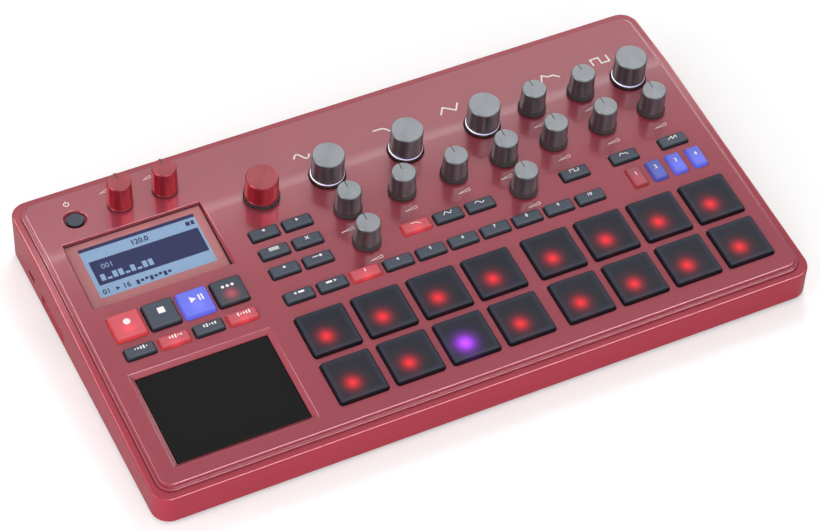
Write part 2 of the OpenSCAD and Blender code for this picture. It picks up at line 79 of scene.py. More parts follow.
# The panel frame: origin at the first pad's centre on the panel, X right, Y back, Z out of it
FIRST_KNOB = Vector(joint("small_knob_01")["pos_m"])
FIRST_KNOB_AT = Vector((39.0, 91.3, 0.0)) * MM
ON_PANEL = Matrix.Translation(FIRST_KNOB) @ TURN @ Matrix.Translation(-FIRST_KNOB_AT)
PANEL_POINT = ON_PANEL.inverted()
# The rear frame: the same X and Y on the level rear part
REAR_Z = joint("red_knob_left")["pos_m"][2]
ON_REAR = Matrix.Translation((ON_PANEL.translation.x, ON_PANEL.translation.y, REAR_Z))

CASE_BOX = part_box("bottom_case")
CASE_CORNER = 9 * MM
WINDOW_THICKNESS = 1.8 * MM
WINDOW_GAP = 0.28 * MM
SMALL_KNOB_TOP = 14.8
RED_KNOB_TOP = 15.2

SMALL_KNOBS = [f"small_knob_{i:02d}" for i in range(1, 12)]
LARGE_KNOBS = [f"large_knob_{i}" for i in range(1, 5)]
RED_KNOBS = ["red_knob_left", "red_knob_right"]
PADS = [f"pad_{i:02d}" for i in range(1, 17)]
SELECTED_PAD = "pad_03"

# Key centres in the panel frame, in millimetres
PITCH = 17.13
FIRST_COLUMN = -4
MODE_ROW = 52.6
UPPER_ROW = 68.9
MODE_AT = [(FIRST_COLUMN + PITCH * i, MODE_ROW) for i in range(10)]
MENU_AT = [(FIRST_COLUMN + PITCH * i, UPPER_ROW + 12 * j) for i in range(2) for j in range(3)]
FILTER_AT = [(64.5 + PITCH * i, UPPER_ROW) for i in range(3)]
SECTION_AT = [(150.2, UPPER_ROW), (177.5, UPPER_ROW), (204.7, UPPER_ROW)]
BANK_AT = [(177.3 + 11.1 * i, 55.2) for i in range(4)]
LEFT_COLUMNS = [-84.4 + 17.1 * i for i in range(4)]
TOUCH_KEY_AT = [(x, 51.6) for x in LEFT_COLUMNS]
TRANSPORT_AT = [(x, 67.3) for x in LEFT_COLUMNS]


def panel_place(node):
    """Centre of a node in the panel frame, in millimetres."""
    return (PANEL_POINT @ middle(node)) / MM


# Settings -------------------------------------------------------------------------------------


def size(name, what, default):
    """A length, with its default in millimetres."""
    return bpy.props.FloatProperty(
        name=name, description=what, default=default * MM, unit="LENGTH", precision=5)


def colour(name, what, default):
    return bpy.props.FloatVectorProperty(
        name=name, description=what, default=default, size=3, min=0, max=1, subtype="COLOR")


def amount(name, what, default):
    return bpy.props.FloatProperty(name=name, description=what, default=default, min=0)


class DrumColours(bpy.types.PropertyGroup):
    panel: colour("Panel paint", "Satin metallic red of the top panel", (0.305, 0.040, 0.063))
    case: colour("Case paint", "Satin metallic red of the bottom case", (0.35, 0.028, 0.05))
    rubber: colour("Pads", "Dark blue-grey silicone of the pads", (0.012, 0.014, 0.024))
    keys: colour("Keys", "Blue-grey silicone of the keys", (0.045, 0.058, 0.085))
    # The side colours differ from the tops as painted light and shade: the grey sides a little darker, the red
    # sides much brighter.
    knob: colour("Grey knob tops", "Grey anodised metal, facing up", (0.20, 0.21, 0.222))
    knob_side_painted_shade: colour("Grey knob sides", "Grey anodised metal, on the side", (0.167, 0.20, 0.215))
    red_knob: colour("Red knob tops", "Red anodised metal, facing up", (0.245, 0.062, 0.07))
    red_knob_side_painted_light: colour("Red knob sides", "Red anodised metal, on the side", (0.55, 0.05, 0.075))
    print: colour("Legends", "Off-white print", (0.88, 0.83, 0.82))
    screen: colour("Screen", "Lit ground of the display", (0.24, 0.36, 0.53))
    ink: colour("Screen ink", "Dark cells of the display", (0.046, 0.054, 0.14))


class DrumLights(bpy.types.PropertyGroup):
    red: colour("Red light", "Light under a red key", (1.0, 0.05, 0.06))
    blue: colour("Blue light", "Light under a blue key", (0.13, 0.15, 0.95))
    violet: colour("Violet light", "Light under the selected pad", (0.45, 0.04, 1.0))
    pad_red: colour("Pad light", "Light under the other pads", (1.0, 0.012, 0.018))
    pad: amount("Pad glow", "Brightness in the middle of a pad", 0.95)
    key: amount("Key glow", "Brightness of a lit key", 0.95)
    ring: amount("Ring glow", "Brightness of the knob rings", 1.0)
    screen: amount("Screen glow", "Brightness of the display", 0.5)


class DrumEdges(bpy.types.PropertyGroup):
    panel: size("Panel edge", "Rounding of the panel's outer edge", 0.85)
    case: size("Case edge", "Rounding of the case's outer edges", 0.9)
    pad: size("Pad edge", "Rounding of the pads' edges", 0.55)
    key: size("Key edge", "Rounding of the keys' edges", 0.4)
    crease: size("Crease", "Depth of the rounded bend of the panel", 8.0)


class DrumStudio(bpy.types.PropertyGroup):
    place: bpy.props.FloatVectorProperty(
        name="Camera place", description="Where the camera stands",
        default=(-0.43795, -0.83123, 1.05125), subtype="TRANSLATION")
    turn: bpy.props.FloatVectorProperty(
        name="Camera turn", description="Turn of the camera about X, Y and Z",
        default=[math.radians(a) for a in (41.86446, -1.80129, -25.78702)], subtype="EULER")
    lens: bpy.props.FloatProperty(
        name="Lens", description="Focal length, on a 36 mm sensor", default=128.1, unit="CAMERA")
    key: amount("Key lamp", "Power of the main soft lamp, in watts", 7.0)
    front: amount("Front lamp", "Power of the low lamps in front and on the left, in watts", 18.0)
    cards: amount("Cards", "Brightness of the cards that edges, knobs and bend reflect", 1.0)
    world: amount("Surroundings", "Brightness of the room on the object", 0.62)
    mirror: amount("Mirrored room", "Brightness of the room in reflections", 0.42)


# Materials ------------------------------------------------------------------------------------


class Value:
    """A number or colour in a material. Arithmetic on it adds Math nodes."""

    def __init__(self, finish, socket):
        self.finish = finish
        self.socket = socket

    def math(self, operation, *others):
        return self.finish.node("ShaderNodeMath", {"operation": operation}, [self, *others])

    def __add__(self, other):
        return self.math("ADD", other)

    def __sub__(self, other):
        return self.math("SUBTRACT", other)

    def __rsub__(self, other):
        return self.finish.node("ShaderNodeMath", {"operation": "SUBTRACT"}, [other, self])

    def __mul__(self, other):
        return self.math("MULTIPLY", other)

    def __truediv__(self, other):
        return self.math("DIVIDE", other)

    def __neg__(self):
        return self.math("MULTIPLY", -1.0)

    def __pow__(self, other):
        return self.math("POWER", other)

    __radd__ = __add__
    __rmul__ = __mul__

    def abs(self):
        return self.math("ABSOLUTE")

    def exp(self):
        return self.math("EXPONENT")

    def above(self, limit):
        return self.math("GREATER_THAN", limit)

    def beside(self, output):
        """Another output of the node that this value comes from."""
        return Value(self.finish, self.socket.node.outputs[output])


class Finish:
    """One material: a Principled shader and the nodes that feed it."""

    def __init__(self, name, **constants):
        self.material = bpy.data.materials.new(name)
        self.material.use_nodes = True
        self.tree = self.material.node_tree
        self.shader = self.tree.nodes["Principled BSDF"]
        for socket, value in constants.items():
            self.feed(socket.replace("_", " "), value)

    def node(self, kind, settings=None, inputs=(), output=0):
        """Any node, with its settings first, then the values or links of its sockets."""
        made = self.tree.nodes.new(kind)
        for key, value in (settings or {}).items():
            setattr(made, key, value)
        pairs = inputs.items() if isinstance(inputs, dict) else enumerate(inputs)
        for key, value in pairs:
            self.put(made.inputs[key], value)
        return Value(self, made.outputs[output])

    def put(self, socket, value):
        if isinstance(value, Value):
            self.tree.links.new(value.socket, socket)
        elif socket.type == "RGBA" and len(value) == 3:
            socket.default_value = (*value, 1)
        else:
            socket.default_value = value

    def feed(self, socket, value):
        self.put(self.shader.inputs[socket], value)

    def coordinates(self):
        return self.node("ShaderNodeTexCoord", output="Object")

    def noise(self, scale, detail=2.0, roughness=0.5):
        return self.node("ShaderNodeTexNoise", {}, {
            "Vector": self.coordinates(), "Scale": scale, "Detail": detail,
            "Roughness": roughness})

    def mix(self, factor, first, second):
        return self.node(
            "ShaderNodeMix", {"data_type": "RGBA"}, {0: factor, 6: first, 7: second}, 2)

    def scaled(self, tint, factor):
        return self.node(
            "ShaderNodeVectorMath", {"operation": "SCALE"}, {0: tint, "Scale": factor})

    def clamped(self, operation, first, second):
        """A Math node whose result stays between 0 and 1."""
        return self.node(
            "ShaderNodeMath", {"operation": operation, "use_clamp": True}, [first, second])

    def dot(self, first, direction):
        return self.node("ShaderNodeVectorMath", {"operation": "DOT_PRODUCT"},
                         [first, tuple(direction)], "Value")

    def bump(self, height, strength, distance):
        return self.node("ShaderNodeBump", {}, {
            "Height": height, "Strength": strength, "Distance": distance})

    def along(self, direction):
        """Height of the surface point along a direction, in metres."""
        return self.dot(self.coordinates(), direction)

    def facing(self, direction):
        """1 where the surface faces along a direction."""
        return self.dot(self.node("ShaderNodeNewGeometry", output="Normal"), direction)

    def face_map(self):
        """Both coordinates of the piece's own map, in millimetres."""
        uv = self.node("ShaderNodeUVMap", {"uv_map": "face"})
        across = self.node("ShaderNodeSeparateXYZ", {}, [uv])
        return across, across.beside(1)

    def away_from(self, x, y):
        """Distance in millimetres from a point of the piece's own map."""
        across, up = self.face_map()
        across, up = across - x, up - y
        return (across * across + up * up) ** 0.5

    def rim(self, half):
        """Rises from 0 to 1 at the border of a square of this half width on the map."""
        across, up = self.face_map()
        far = across.abs().math("MAXIMUM", up.abs()) / half
        return self.clamped("POWER", far, 14.0)


def darker(tint, share):
    """A colour times a share, which may also be over 1."""
    return tuple(c * share for c in tint)


def paint(slot, tint, rough, coat):
    """Satin metallic paint: fine flakes in the colour, a faint orange peel and a clear coat."""
    finish = Finish(slot, Metallic=0.08, Specular_IOR_Level=0.2, Coat_Weight=coat,
                    Coat_Roughness=0.14, Coat_IOR=1.5)
    flake = finish.noise(2600.0, 3.0, 0.7)
    cloud = finish.noise(28.0, 2.0)
    shade = flake * 0.75 + cloud * 0.25
    finish.feed("Base Color", finish.mix(shade, darker(tint, 0.80), darker(tint, 1.20)))
    finish.feed("Roughness", rough - 0.04 + flake * 0.08)
    finish.feed("Normal", finish.bump(flake, 0.16, 0.00006))
    return finish.material


def silicone(slot, tint, glow, spot, core, halo, at, half, gloss):
    """Soft rubber, lit from below where the piece carries the attribute lit.

    The light is a spot of radius core, by its share spot, and for the rest a wide glow of
    radius halo, both round a point of the piece's map. Lengths are in millimetres.
    """
    finish = Finish(slot, Specular_IOR_Level=gloss, Emission_Strength=1.0)
    grain = finish.noise(1900.0, 2.0)
    wear = finish.noise(90.0, 3.0)
    lit = finish.node("ShaderNodeAttribute", {"attribute_name": "lit"})
    body = finish.mix(grain * 0.4 + wear * 0.6, darker(tint, 0.86), darker(tint, 1.16))
    # Each pad and key is lighter towards the border of its square: painted highlight along its edges.
    body = finish.mix(finish.rim(half), body, darker(tint, 1.9))
    # Faces that turn away from up are darkened to a quarter of the tint: painted shade on the sides.
    body = finish.mix(finish.facing(-DOWN) ** 3.0, darker(tint, 0.25), body)
    finish.feed("Base Color", finish.mix(lit * (1.0 - spot), body, (0.01, 0.01, 0.012)))
    finish.feed("Roughness", 0.50 + wear * 0.14)
    finish.feed("Normal", finish.bump(grain, 0.22, 0.00005))
    away = finish.away_from(*at)
    near = (-((away / core) ** 2.0)).exp()
    wide = (-((away / halo) ** 2.0)).exp() * lit.beside("Alpha")
    finish.feed("Emission Color", finish.scaled(lit, (near * spot + wide * (1.0 - spot)) * glow))
    return finish.material


def anodised(slot, top, side, rough, skirt=0.0):
    """Turned, anodised metal: fine bands round the side, a side colour that differs from the top's as painted
    light and shade, and a rough skirt of this height in mm painted near-black as painted shade.
    """
    dull = 0.85
    pitch = 0.45 * MM
    finish = Finish(slot, Anisotropic=0.35, Anisotropic_Rotation=0.25)
    facing = finish.facing(-DOWN).abs()
    band = finish.along(-DOWN) * (2 * math.pi / pitch)
    grain = finish.noise(1500.0, 2.0)
    streak = finish.noise(320.0, 3.0, 0.6)
    # Faces that point up take the top colour and the rest take the side colour: painted light and shade by which
    # way a face turns.
    tint = finish.mix(facing, side, top)
    tint = finish.scaled(tint, 0.86 + grain * 0.14 + streak * 0.14)
    base = (-DOWN).dot(ON_PANEL.translation)
    above_skirt = (finish.along(-DOWN) - base).above(skirt * MM)
    # Below the skirt's height the colour is near-black with a red cast: painted shade round the knob's foot.
    finish.feed("Base Color", finish.mix(above_skirt, (0.02, 0.008, 0.009), tint))
    finish.feed("Metallic", above_skirt * 0.96)
    polish = above_skirt * (dull - rough) + above_skirt * (1.0 - facing) * 0.06
    finish.feed("Roughness", dull - polish + grain * 0.06)
    relief = band.math("SINE") * (1.0 - facing) + grain * 0.3
    finish.feed("Normal", finish.bump(relief, 0.4, 0.00003))
    return finish.material


def moulded(slot, tint, rough, grain=1400.0, relief=0.00004, **constants):
    """Moulded plastic or rubber with a fine grain."""
    finish = Finish(slot, **constants)
    texture = finish.noise(grain, 3.0)
    cloud = finish.noise(60.0, 2.0)
    shade = texture * 0.5 + cloud * 0.5
    finish.feed("Base Color", finish.mix(shade, darker(tint, 0.8), darker(tint, 1.2)))
    finish.feed("Roughness", rough - 0.05 + texture * 0.1)
    finish.feed("Normal", finish.bump(texture, 0.3, relief))
    return finish.material


def metal(slot, tint, rough):
    """Bare brushed metal."""
    finish = Finish(slot, Metallic=1.0)
    brushed = finish.noise(700.0, 4.0, 0.7)
    finish.feed("Base Color", finish.mix(brushed, darker(tint, 0.8), darker(tint, 1.1)))
    finish.feed("Roughness", rough + brushed * 0.15)
    finish.feed("Normal", finish.bump(brushed, 0.15, 0.00002))
    return finish.material


def glass(slot):
    """Clear window with a thin film."""
    finish = Finish(slot, Base_Color=(0.10, 0.08, 0.09), Roughness=0.08, Specular_IOR_Level=0.4)
    film = finish.noise(40.0, 2.0)
    finish.feed("Alpha", 0.05 + film * 0.03)
    return finish.material


def circuit_board(slot):
    """Green board with lighter tracks."""
    finish = Finish(slot, Roughness=0.35)
    tracks = finish.node("ShaderNodeTexVoronoi", {"distance": "CHEBYCHEV"},
                         {"Vector": finish.coordinates(), "Scale": 420.0})
    finish.feed("Base Color", finish.mix(tracks, (0.02, 0.11, 0.045), (0.05, 0.24, 0.10)))
    return finish.material


def ring_light(slot, glow):
    """Light guide that glows violet in front, inside a dark outer band, with white on its left as painted
    highlight and a dimming towards the right as painted shade.
    """
    lit_radius = 8.45
    finish = Finish(slot, Roughness=0.3, Emission_Strength=1.0)
    across, up = finish.face_map()
    radius = (across * across + up * up) ** 0.5
    inside = 1.0 - radius.above(lit_radius)
    # White towards the left is painted highlight, and the dimming towards the right is painted shade.
    left = finish.clamped("ADD", across * -0.14 + up * 0.03, -0.2)
    shade_to_right = finish.clamped("ADD", across * -0.05, 0.45)
    patches = finish.noise(420.0, 2.0)
    violet = finish.scaled(finish.mix(patches, (0.25, 0.14, 0.52), (0.62, 0.50, 0.95)), shade_to_right)
    light = finish.mix(left, violet, (0.95, 0.93, 1.0))
    finish.feed("Emission Color", finish.scaled(light, inside * glow))
    finish.feed("Base Color", finish.mix(inside, (0.03, 0.01, 0.012), (0.6, 0.56, 0.66)))
    return finish.material


def printed(slot, tint, glow, shine=0.3):
    """Flat print that may give off some of its own colour, as the backlit display does; on the bezel and the
    legends this glow is painted light.
    """
    finish = Finish(slot, Roughness=0.55, Emission_Strength=1.0, Specular_IOR_Level=shine)
    speck = finish.noise(2200.0, 2.0)
    ink = finish.mix(speck, darker(tint, 0.9), tint)
    finish.feed("Base Color", ink)
    finish.feed("Emission Color", finish.scaled(ink, glow))
    return finish.material


FINISHES = {}


def make_finishes(colours, lights):
    """Fills FINISHES with the material of every slot."""
    def add(slot, make, *values, **named):
        FINISHES[slot] = make(slot, *values, **named)

    add("panel_paint", paint, colours.panel, rough=0.34, coat=0.9)
    add("case_paint", paint, colours.case, rough=0.34, coat=0.6)
    add("pad_rubber", silicone, colours.rubber, glow=lights.pad, spot=0.8, core=2.9, halo=5.0,
        at=(-2.6, -3.6), half=10.4, gloss=0.14)
    add("key_rubber", silicone, colours.keys, glow=lights.key, spot=0.3, core=2.8, halo=26.0,
        at=(0.0, -2.4), half=60.0, gloss=0.26)
    add("knob_grey", anodised, colours.knob, colours.knob_side_painted_shade, rough=0.36, skirt=2.8)
    add("knob_red", anodised, colours.red_knob, colours.red_knob_side_painted_light, rough=0.36)
    add("window", glass)
    add("ring_light", ring_light, lights.ring)
    add("touch_black", moulded, (0.006, 0.006, 0.0065), rough=0.42, grain=2600.0,
        relief=0.00002, Specular_IOR_Level=0.08)
    add("socket_black", moulded, (0.02, 0.02, 0.021), rough=0.45)
    add("foot_rubber", moulded, (0.018, 0.018, 0.018), rough=0.75, grain=900.0)
    add("grip_rubber", moulded, (0.02, 0.018, 0.02), rough=0.5)
    add("cell_sleeve", moulded, (0.5, 0.4, 0.16), rough=0.3, grain=300.0)
    add("control_metal", metal, (0.55, 0.55, 0.57), rough=0.3)
    add("screw_steel", metal, (0.16, 0.16, 0.17), rough=0.35)
    add("circuit_board", circuit_board)
    add("display", moulded, (0.03, 0.03, 0.035), rough=0.4)
    # The bezel and the legends hold no lamp: their small glow is painted light.
    add("bezel", printed, (0.58, 0.20, 0.205), glow=0.06)
    add("legend", printed, colours.print, glow=0.08)
    add("screen_ground", printed, colours.screen, glow=lights.screen, shine=0.0)
    add("screen_ink", printed, colours.ink, glow=0.1, shine=0.0)
    add("pointer_ink", moulded, (0.02, 0.018, 0.018), rough=0.6)


# Modelling helpers ----------------------------------------------------------------------------

WELD = 2e-6
FLAT = math.radians(0.4)
SHARP = math.radians(28)
SMOOTH = math.radians(40)


def pick(*pieces):
    """Selects these pieces and nothing else; the last one is active."""
    bpy.ops.object.select_all(action="DESELECT")
    for piece in pieces:
        piece.select_set(True)
    bpy.context.view_layer.objects.active = pieces[-1]


def finish_modifier(piece, kind, **settings):
    """Adds a modifier and applies it."""
    pick(piece)
    made = piece.modifiers.new(kind.title(), kind)
    for key, value in settings.items():
        setattr(made, key, value)
    bpy.ops.object.modifier_apply(modifier=made.name)


def give(piece, slot):
    """The slot's finish is the piece's only material."""
    piece.data.materials.clear()
    piece.data.materials.append(FINISHES[slot])


def everywhere(point):
    return 1.0


def softened(node, edge, reshape=None, share=everywhere):
    """A copy of a CAD node with its triangles joined and its sharp edges rounded.

    reshape changes the copy before its edges are rounded, and share says how much of the
    rounding the place of an edge takes.
    """
    piece = bpy.data.objects.new(node + "_skin", frame["nodes"][node].data.copy())
    bpy.context.scene.collection.objects.link(piece)
    pick(piece)
    bpy.ops.mesh.customdata_custom_splitnormals_clear()
    bpy.ops.object.mode_set(mode="EDIT")
    bpy.ops.mesh.select_all(action="SELECT")
    bpy.ops.mesh.remove_doubles(threshold=WELD)
    bpy.ops.mesh.dissolve_limited(angle_limit=FLAT)
    bpy.ops.object.mode_set(mode="OBJECT")
    if reshape:
        reshape(piece)
    pick(piece)
    bpy.ops.object.mode_set(mode="EDIT")
    bpy.ops.mesh.select_mode(type="EDGE")
    bpy.ops.mesh.select_all(action="DESELECT")
    bpy.ops.mesh.edges_select_sharp(sharpness=SHARP)
    bpy.ops.object.mode_set(mode="OBJECT")
    mesh = piece.data
    weights = mesh.attributes.new("bevel_weight_edge", "FLOAT", "EDGE")
    convex = standing_edges(mesh)
    for line in mesh.edges:
        if line.select and line.index in convex:
            start, end = (mesh.vertices[i].co for i in line.vertices)
            weights.data[line.index].value = share((start + end) / 2)
    finish_modifier(piece, "BEVEL", width=edge, segments=3, limit_method="WEIGHT",
                    use_clamp_overlap=False)
    pick(piece)
    bpy.ops.object.shade_smooth_by_angle(angle=SMOOTH)
    finish_modifier(piece, "WEIGHTED_NORMAL", keep_sharp=True, weight=60)
    return piece


def standing_edges(mesh):
    """Edges whose two faces fall away from each other, as on a block, and not as in a corner."""
    sides = {}
    for face in mesh.polygons:
        loops = [mesh.loops[i] for i in face.loop_indices]
        for loop, after in zip(loops, loops[1:] + loops[:1]):
            start, end = (mesh.vertices[corner.vertex_index].co for corner in (loop, after))
            inward = face.normal.cross(end - start)
            sides.setdefault(loop.edge_index, []).append((face.normal, inward))
    return {edge for edge, pair in sides.items()
            if len(pair) == 2 and pair[0][1].dot(pair[1][0]) < 0}


def inset(point):
    """How far a point lies inside the outline of the case, seen from above."""
    centre, half = (CASE_BOX[0] + CASE_BOX[1]) / 2, (CASE_BOX[1] - CASE_BOX[0]) / 2
    x = abs(point.x - centre.x) - half.x + CASE_CORNER
    y = abs(point.y - centre.y) - half.y + CASE_CORNER
    return CASE_CORNER - (math.hypot(x, y) if min(x, y) > 0 else max(x, y))


def below_panel(point):
    """How far a point lies below the bent surface of the panel."""
    return min(-(PANEL_POINT @ point).z, REAR_Z - point.z)


def nearest_centres(piece, centres):
    """For each corner of the piece's faces: its point on the panel and its centre's number."""
    points = [(PANEL_POINT @ v.co) / MM for v in piece.data.vertices]
    for loop in piece.data.loops:
        p = points[loop.vertex_index]
        yield loop.index, p, min(
            range(len(centres)),
            key=lambda i: (p.x - centres[i][0]) ** 2 + (p.y - centres[i][1]) ** 2)


def map_faces(piece, centres):
    """A map in millimetres from the nearest of these centres on the panel."""
    layer = piece.data.uv_layers.new(name="face")
    for corner, p, near in nearest_centres(piece, centres):
        layer.data[corner].uv = (p.x - centres[near][0], p.y - centres[near][1])


def light_up(piece, centres, colours):
    """Writes each key's light colour on its own faces; a fourth value scales the wide glow."""
    layer = piece.data.color_attributes.new(name="lit", type="FLOAT_COLOR", domain="CORNER")
    for corner, p, near in nearest_centres(piece, centres):
        layer.data[corner].color = (*colours[near], 1)[:4]


def settle(piece, body, slot, node):
    """Rides the piece on its body, with its slot's finish, in place of its CAD node."""
    give(piece, slot)
    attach(piece, body)
    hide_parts(node)


# Small flat shapes for prints, in millimetres on a plane --------------------------------------


def flat(x, y, turn=0.0, across=1.0, up=1.0, lift=0.0):
    """Turns, stretches and places the new active shape in its plane."""
    shape = bpy.context.object
    place = Matrix.Translation((x * MM, y * MM, lift * MM)) @ Matrix.Rotation(turn, 4, "Z")
    shape.data.transform(place @ Matrix.Diagonal((across, up, 1, 1)))
    return shape


def bar(x, y, w, h):
    bpy.ops.mesh.primitive_plane_add(size=MM)
    return flat(x, y, 0, w, h)


def disc(x, y, r):
    bpy.ops.mesh.primitive_circle_add(vertices=32, radius=r * MM, fill_type="NGON")
    return flat(x, y)


def arrow(x, y, r, turn):
    """Triangle that points along turn, in degrees from +X."""
    bpy.ops.mesh.primitive_circle_add(vertices=3, radius=r * MM, fill_type="NGON")
    return flat(x, y, math.radians(turn - 90))


def digits(text, x, y, height, bold=0.02):
    """Figures of this height, made heavier by a share of it."""
    bpy.ops.object.text_add()
    made = bpy.context.object
    made.data.body = text
    made.data.align_x = "CENTER"
    made.data.align_y = "CENTER"
    made.data.size = height * MM * 1.4
    made.data.offset = bold * height * MM
    made.data.resolution_u = 3
    pick(made)
    bpy.ops.object.convert(target="MESH")
    return flat(x, y)


def stroke(points, width):
    """A line of even width through points. Every other part lies a little higher."""
    parts = []
    for i, ((ax, ay), (bx, by)) in enumerate(zip(points, points[1:])):
        length = math.hypot(bx - ax, by - ay)
        turn = math.atan2(by - ay, bx - ax)
        bpy.ops.mesh.primitive_plane_add(size=MM)
        parts.append(flat((ax + bx) / 2, (ay + by) / 2, turn, length + width * 0.8, width,
                          i % 2 * 0.006))
    return joined(parts)


def joined(parts):
    pick(*parts)
    if len(parts) > 1:
        bpy.ops.object.join()
    return bpy.context.object


def wave(kind, x, y, w, h, width):
    """One period of a sine, saw, square or triangle, a slope or a decay curve."""
    steps = 24
    forms = {
        "sine": [(t / steps, math.sin(2 * math.pi * t / steps)) for t in range(steps + 1)],
        "saw": [(0, -1), (0.5, 1), (0.5, -1), (1, 1), (1, -1)],
        "square": [(0, -1), (0, 1), (0.5, 1), (0.5, -1), (1, -1), (1, 1)],
        "triangle": [(0, -1), (0.25, 1), (0.75, -1), (1, 1)],
        "slope": [(0, 0.6), (0.55, 0.6), (0.75, 0.2), (1, -1)],
        "decay": [(0, -1), (0.2, 1), (0.45, 0.1), (0.75, 0.1), (1, -1)],
    }
    return stroke([(x + (a - 0.5) * w, y + b * h / 2) for a, b in forms[kind]], width)


def ramp(x, y, w, h):
    """A thin wedge that grows to the right, as under a level control."""
    corners = ((-1, -1), (1, -1), (1, 1), (-1, -1))
    return stroke([(x + a * w / 2, y + b * h / 2) for a, b in corners], 0.22)


def printed_piece(name, parts, place, level, body, slot="legend", thick=0.03):
    """Joins flat shapes into one thin print that stands on a plane at a level."""
    piece = joined(parts)
    piece.name = name
    piece.data.name = name
    piece.matrix_world = Matrix.Identity(4)
    finish_modifier(piece, "SOLIDIFY", thickness=2 * thick * MM, offset=0.0,
                    use_even_offset=False)
    piece.data.transform(place @ Matrix.Translation((0, 0, level * MM)))
    give(piece, slot)
    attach(piece, body)


# Operators: one for each piece or group -------------------------------------------------------


class Step(bpy.types.Operator):
    """Runs its make() on the scene"""
    bl_options = {"REGISTER", "UNDO"}

    def execute(self, context):
        self.make(context.scene)
        return {"FINISHED"}


class DRUM_OT_finishes(Step):
    """Makes every material and gives the CAD nodes theirs"""
    bl_idname = "drum.finishes"
    bl_label = "Finishes"

    def make(self, scene):
        make_finishes(scene.drum_colours, scene.drum_lights)
        for part in frame["record"]["subparts"]:
            give(frame["nodes"][part["node"]], part["material_slot"])


class DRUM_OT_case(Step):
    """Rounds the edges of the bottom case and the battery door"""
    bl_idname = "drum.case"
    bl_label = "Bottom case"

    def make(self, scene):
        shell = softened("bottom_case", scene.drum_edges.case, share=self.share)
        settle(shell, CHASSIS, "case_paint", "bottom_case")
        door = softened("battery_door", scene.drum_edges.key)
        settle(door, CHASSIS, "case_paint", "battery_door")

    def share(self, point):
        """Only the outline's upper and lower edge are rounded, not the openings in the walls."""
        upper, lower = below_panel(point) < 4.5 * MM, point.z < 2.5 * MM
        return 1.0 if inset(point) < 1.5 * MM and (upper or lower) else 0.0


class DRUM_OT_panel(Step):
    """Rounds the edges and the bend of the top panel"""
    bl_idname = "drum.panel"
    bl_label = "Top panel"

    def make(self, scene):
        self.depth = scene.drum_edges.crease
        panel = softened("top_panel", scene.drum_edges.panel, self.round_bend, self.share)
        settle(panel, CHASSIS, "panel_paint", "top_panel")

    def share(self, point):
        """The outer edge is the roundest, then the flange, then the openings."""
        rim_width, level = 7 * MM, 0.5 * MM
        if inset(point) > rim_width:
            return 0.3
        return 1.0 if below_panel(point) < level else 0.45

    def round_bend(self, piece):
        """Turns the sharp bend into an arc over its depth, from cuts across the panel."""
        rise = REAR_Z - ON_PANEL.translation.z
        bend = ON_PANEL.translation.y + rise / math.tan(TILT)
        start = bend - self.depth / 2
        cuts = 7
        pick(piece)
        bpy.ops.object.mode_set(mode="EDIT")
        for i in range(cuts + 1):
            bpy.ops.mesh.select_all(action="SELECT")
            bpy.ops.mesh.bisect(
                plane_co=(0, start + self.depth * i / cuts, 0), plane_no=(0, 1, 0))
        bpy.ops.object.mode_set(mode="OBJECT")
        for vertex in piece.data.vertices:
            along = (vertex.co.y - start) / self.depth
            if 0 < along < 1:
                sharp = min(along, 0.5) - 0.5
                arc = along - along * along / 2 - 0.5
                vertex.co.z += math.tan(TILT) * self.depth * (arc - sharp)


class DRUM_OT_pads(Step):
    """Soft pads with a light below each"""
    bl_idname = "drum.pads"
    bl_label = "Pads"

    def make(self, scene):
        lights = scene.drum_lights
        selected = (*darker(lights.violet, 1.2), 3.2)
        for pad in PADS:
            centre = panel_place(pad)[:2]
            piece = softened(pad, scene.drum_edges.pad)
            map_faces(piece, [centre])
            light_up(piece, [centre], [selected if pad == SELECTED_PAD else lights.pad_red])
            settle(piece, pad, "pad_rubber", pad)


